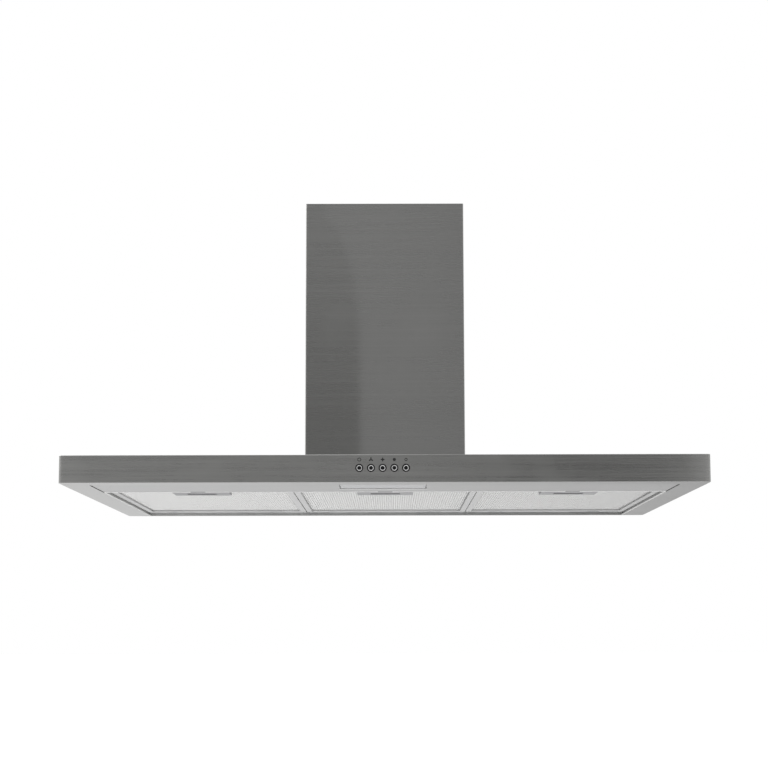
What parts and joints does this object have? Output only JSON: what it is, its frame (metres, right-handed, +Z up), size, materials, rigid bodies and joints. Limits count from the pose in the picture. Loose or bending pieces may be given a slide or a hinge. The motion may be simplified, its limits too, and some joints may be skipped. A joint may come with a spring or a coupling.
{
  "type": "island range hood",
  "caption": "Flat-canopy island range hood with a square telescoping chimney, drop-down mesh filters, push buttons, a lamp panel and a ducted blower.",
  "frame": {"origin": "centre of the canopy's footprint, in the plane of its lower rim", "axes": "+Z up towards the ceiling, -Y towards the front with the push buttons, +X to the right seen from the front"},
  "size_m": [0.9, 0.6004, 0.4435],
  "materials": {
    "brushed_stainless": "fine horizontal brushed grain, satin",
    "rim_stainless": "satin",
    "galvanised": "galvanised sheet, dull",
    "filter_aluminium": "anodised, satin",
    "filter_mesh": "expanded mesh, matt",
    "handle_grey": "fine texture",
    "latch_steel": "satin",
    "spring_steel": "oiled",
    "chrome": "polished",
    "black_plastic": "fine texture",
    "white_plastic": "satin",
    "lens_plastic": "frosted, translucent",
    "lamp_glass": "opal",
    "motor_paint": "satin black",
    "fastener_zinc": "zinc plated",
    "rubber_black": "matt"
  },
  "bodies": {
    "ceiling_mount": {"ceiling_plate": "galvanised", "upper_uprights": "galvanised", "upper_chimney_front": "brushed_stainless", "upper_chimney_rear": "brushed_stainless", "upper_chimney_screws": "fastener_zinc"},
    "hood": {"base_frame": "galvanised", "button_bezels": "black_plastic", "cable_gland": "black_plastic", "canopy_bolts": "fastener_zinc", "canopy_shell": "brushed_stainless", "filter_rear_rail": "galvanised", "front_light_panel": "rim_stainless", "height_bolts": "fastener_zinc", "lamp_housing": "white_plastic", "lamp_socket": "white_plastic", "lamp_tube": "lamp_glass", "lower_chimney_front": "brushed_stainless", "lower_chimney_rear": "brushed_stainless", "lower_uprights": "galvanised", "motor_body": "motor_paint", "motor_bracket": "galvanised", "motor_capacitor": "white_plastic", "outlet_collar": "black_plastic", "outlet_transition": "galvanised", "panel_screws": "fastener_zinc", "scroll_side_left": "galvanised", "scroll_side_right": "galvanised", "scroll_wall": "galvanised", "switch_bracket": "galvanised", "switch_housing": "black_plastic", "terminal_box": "galvanised", "terminal_box_lid": "galvanised", "upright_brace": "galvanised"},
    "filter_left": {"filter_frame_left": "filter_aluminium", "filter_mesh_left": "filter_mesh", "latch_housing_left": "handle_grey", "latch_spring_left": "spring_steel"},
    "latch_left": {"latch_slide_left": "latch_steel"},
    "filter_centre": {"filter_frame_centre": "filter_aluminium", "filter_mesh_centre": "filter_mesh", "latch_housing_centre": "handle_grey", "latch_spring_centre": "spring_steel"},
    "latch_centre": {"latch_slide_centre": "latch_steel"},
    "filter_right": {"filter_frame_right": "filter_aluminium", "filter_mesh_right": "filter_mesh", "latch_housing_right": "handle_grey", "latch_spring_right": "spring_steel"},
    "latch_right": {"latch_slide_right": "latch_steel"},
    "push_button_1": {"button_1": "chrome"},
    "push_button_2": {"button_2": "chrome"},
    "push_button_3": {"button_3": "chrome"},
    "push_button_4": {"button_4": "chrome"},
    "push_button_5": {"button_5": "chrome"},
    "lamp_cover": {"lamp_lens": "lens_plastic"},
    "wheel": {"blower_wheel": "white_plastic", "motor_shaft": "latch_steel", "wheel_nut": "fastener_zinc"},
    "front_flap": {"flap_front": "black_plastic"},
    "rear_flap": {"flap_rear": "black_plastic"}
  },
  "joints": [
    {"name": "height_adjust", "type": "slide", "parent": "ceiling_mount", "child": "hood", "axis": [0, 0, -1], "range_m": [0, 0.25]},
    {"name": "filter_left_drop", "type": "hinge", "parent": "hood", "child": "filter_left", "pos_m": [-0.2753, 0.277, 0.0095], "axis": [1, 0, 0], "range_deg": [0, 75]},
    {"name": "filter_centre_drop", "type": "hinge", "parent": "hood", "child": "filter_centre", "pos_m": [0, 0.277, 0.0095], "axis": [1, 0, 0], "range_deg": [0, 75]},
    {"name": "filter_right_drop", "type": "hinge", "parent": "hood", "child": "filter_right", "pos_m": [0.2753, 0.277, 0.0095], "axis": [1, 0, 0], "range_deg": [0, 75]},
    {"name": "latch_left_pull", "type": "slide", "parent": "filter_left", "child": "latch_left", "axis": [0, 1, 0], "range_m": [0, 0.006], "stiffness_N_per_m": 400, "springref_m": -0.005, "deforming": ["latch_spring_left"]},
    {"name": "latch_centre_pull", "type": "slide", "parent": "filter_centre", "child": "latch_centre", "axis": [0, 1, 0], "range_m": [0, 0.006], "stiffness_N_per_m": 400, "springref_m": -0.005, "deforming": ["latch_spring_centre"]},
    {"name": "latch_right_pull", "type": "slide", "parent": "filter_right", "child": "latch_right", "axis": [0, 1, 0], "range_m": [0, 0.006], "stiffness_N_per_m": 400, "springref_m": -0.005, "deforming": ["latch_spring_right"]},
    {"name": "button_1_press", "type": "slide", "parent": "hood", "child": "push_button_1", "axis": [0, 1, 0], "range_m": [0, 0.0025], "stiffness_N_per_m": 300, "springref_m": -0.002},
    {"name": "button_2_press", "type": "slide", "parent": "hood", "child": "push_button_2", "axis": [0, 1, 0], "range_m": [0, 0.0025], "stiffness_N_per_m": 300, "springref_m": -0.002},
    {"name": "button_3_press", "type": "slide", "parent": "hood", "child": "push_button_3", "axis": [0, 1, 0], "range_m": [0, 0.0025], "stiffness_N_per_m": 300, "springref_m": -0.002},
    {"name": "button_4_press", "type": "slide", "parent": "hood", "child": "push_button_4", "axis": [0, 1, 0], "range_m": [0, 0.0025], "stiffness_N_per_m": 300, "springref_m": -0.002},
    {"name": "button_5_press", "type": "slide", "parent": "hood", "child": "push_button_5", "axis": [0, 1, 0], "range_m": [0, 0.0025], "stiffness_N_per_m": 300, "springref_m": -0.002},
    {"name": "lamp_cover_open", "type": "hinge", "parent": "hood", "child": "lamp_cover", "pos_m": [0, -0.1874, 0.003], "axis": [1, 0, 0], "range_deg": [0, 85]},
    {"name": "wheel_spin", "type": "hinge", "parent": "hood", "child": "wheel", "pos_m": [0, -0.034, 0.132], "axis": [1, 0, 0], "continuous": true},
    {"name": "flap_front_open", "type": "hinge", "parent": "hood", "child": "front_flap", "pos_m": [0, -0.003, 0.262], "axis": [-1, 0, 0], "range_deg": [0, 75]},
    {"name": "flap_rear_open", "type": "hinge", "parent": "hood", "child": "rear_flap", "pos_m": [0, 0.003, 0.262], "axis": [1, 0, 0], "range_deg": [0, 75]}
  ]
}
